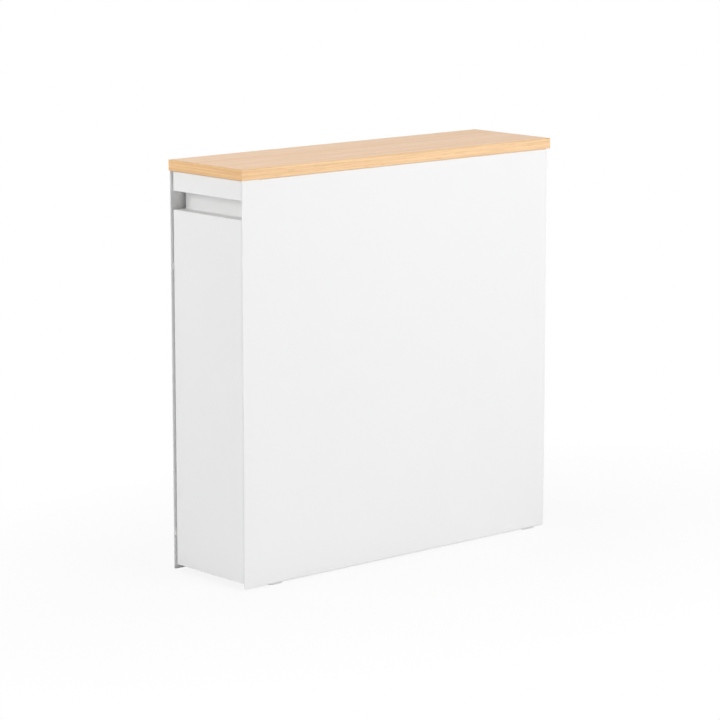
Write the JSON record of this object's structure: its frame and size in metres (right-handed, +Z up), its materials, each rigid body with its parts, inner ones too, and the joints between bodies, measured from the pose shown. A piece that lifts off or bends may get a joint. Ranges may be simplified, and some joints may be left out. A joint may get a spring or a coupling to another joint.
{
  "type": "pull-out storage rack",
  "caption": "Slim white steel storage rack with a wood-grain top board; a shelf unit on casters rolls out of its narrow end, pulled by a finger slot above the front panel.",
  "frame": {"origin": "on the floor, under the middle of the top board", "axes": "+X across the narrow width to the right seen from the front, -Y the front where the rack pulls out, +Z up"},
  "size_m": [0.126, 0.46, 0.46],
  "materials": {
    "white_powder_coat": "matt white powder coat with a fine texture",
    "wood_grain_board": "pale straight-grained wood laminate",
    "wood_grain_edge": "wood-grain edge strip",
    "zinc_steel": "zinc plated",
    "white_nylon": "moulded nylon",
    "wheel_nylon": "moulded nylon",
    "foot_plastic": "moulded",
    "bumper_rubber": "moulded rubber"
  },
  "bodies": {
    "case": {"top_board": "wood_grain_board", "front_edge_band": "wood_grain_edge", "rear_edge_band": "wood_grain_edge", "left_edge_band": "wood_grain_edge", "right_edge_band": "wood_grain_edge", "left_side_panel": "white_powder_coat", "right_side_panel": "white_powder_coat", "back_panel": "white_powder_coat", "top_plate": "white_powder_coat", "board_screws": "zinc_steel", "back_panel_screws": "zinc_steel", "back_panel_nuts": "zinc_steel", "front_left_foot": "foot_plastic", "front_right_foot": "foot_plastic", "lower_left_guide_pad": "white_nylon", "lower_right_guide_pad": "white_nylon", "rear_left_foot": "foot_plastic", "rear_right_foot": "foot_plastic", "upper_left_guide_pad": "white_nylon", "upper_right_guide_pad": "white_nylon"},
    "pull_out": {"bottom_tray": "white_powder_coat", "caster_rivets": "zinc_steel", "front_left_caster_axle": "zinc_steel", "front_left_caster_fork": "zinc_steel", "front_panel": "white_powder_coat", "front_panel_nuts": "zinc_steel", "front_panel_screws": "zinc_steel", "front_plate": "white_powder_coat", "front_right_caster_axle": "zinc_steel", "front_right_caster_fork": "zinc_steel", "lower_left_glide": "white_nylon", "lower_rear_bumper": "bumper_rubber", "lower_right_glide": "white_nylon", "middle_shelf": "white_powder_coat", "pull_rail": "white_powder_coat", "rear_left_caster_axle": "zinc_steel", "rear_left_caster_fork": "zinc_steel", "rear_plate": "white_powder_coat", "rear_right_caster_axle": "zinc_steel", "rear_right_caster_fork": "zinc_steel", "shelf_nuts": "zinc_steel", "shelf_screws": "zinc_steel", "slot_ledge": "white_powder_coat", "upper_left_glide": "white_nylon", "upper_rear_bumper": "bumper_rubber", "upper_right_glide": "white_nylon", "upper_shelf": "white_powder_coat"},
    "front_left_wheel": {"front_left_wheel": "wheel_nylon"},
    "front_right_wheel": {"front_right_wheel": "wheel_nylon"},
    "rear_left_wheel": {"rear_left_wheel": "wheel_nylon"},
    "rear_right_wheel": {"rear_right_wheel": "wheel_nylon"}
  },
  "joints": [
    {"name": "pull_out_slide", "type": "slide", "parent": "case", "child": "pull_out", "axis": [0, -1, 0], "range_m": [0, 0.42]},
    {"name": "front_left_roll", "type": "hinge", "parent": "pull_out", "child": "front_left_wheel", "pos_m": [-0.04, -0.178, 0.0125], "axis": [1, 0, 0], "continuous": true},
    {"name": "front_right_roll", "type": "hinge", "parent": "pull_out", "child": "front_right_wheel", "pos_m": [0.04, -0.178, 0.0125], "axis": [1, 0, 0], "continuous": true},
    {"name": "rear_left_roll", "type": "hinge", "parent": "pull_out", "child": "rear_left_wheel", "pos_m": [-0.04, 0.182, 0.0125], "axis": [1, 0, 0], "continuous": true},
    {"name": "rear_right_roll", "type": "hinge", "parent": "pull_out", "child": "rear_right_wheel", "pos_m": [0.04, 0.182, 0.0125], "axis": [1, 0, 0], "continuous": true}
  ],
  "couplings": [
    {"joint": "front_left_roll", "follows": "pull_out_slide", "rad_per_m": 80},
    {"joint": "front_right_roll", "follows": "pull_out_slide", "rad_per_m": 80},
    {"joint": "rear_left_roll", "follows": "pull_out_slide", "rad_per_m": 80},
    {"joint": "rear_right_roll", "follows": "pull_out_slide", "rad_per_m": 80}
  ]
}
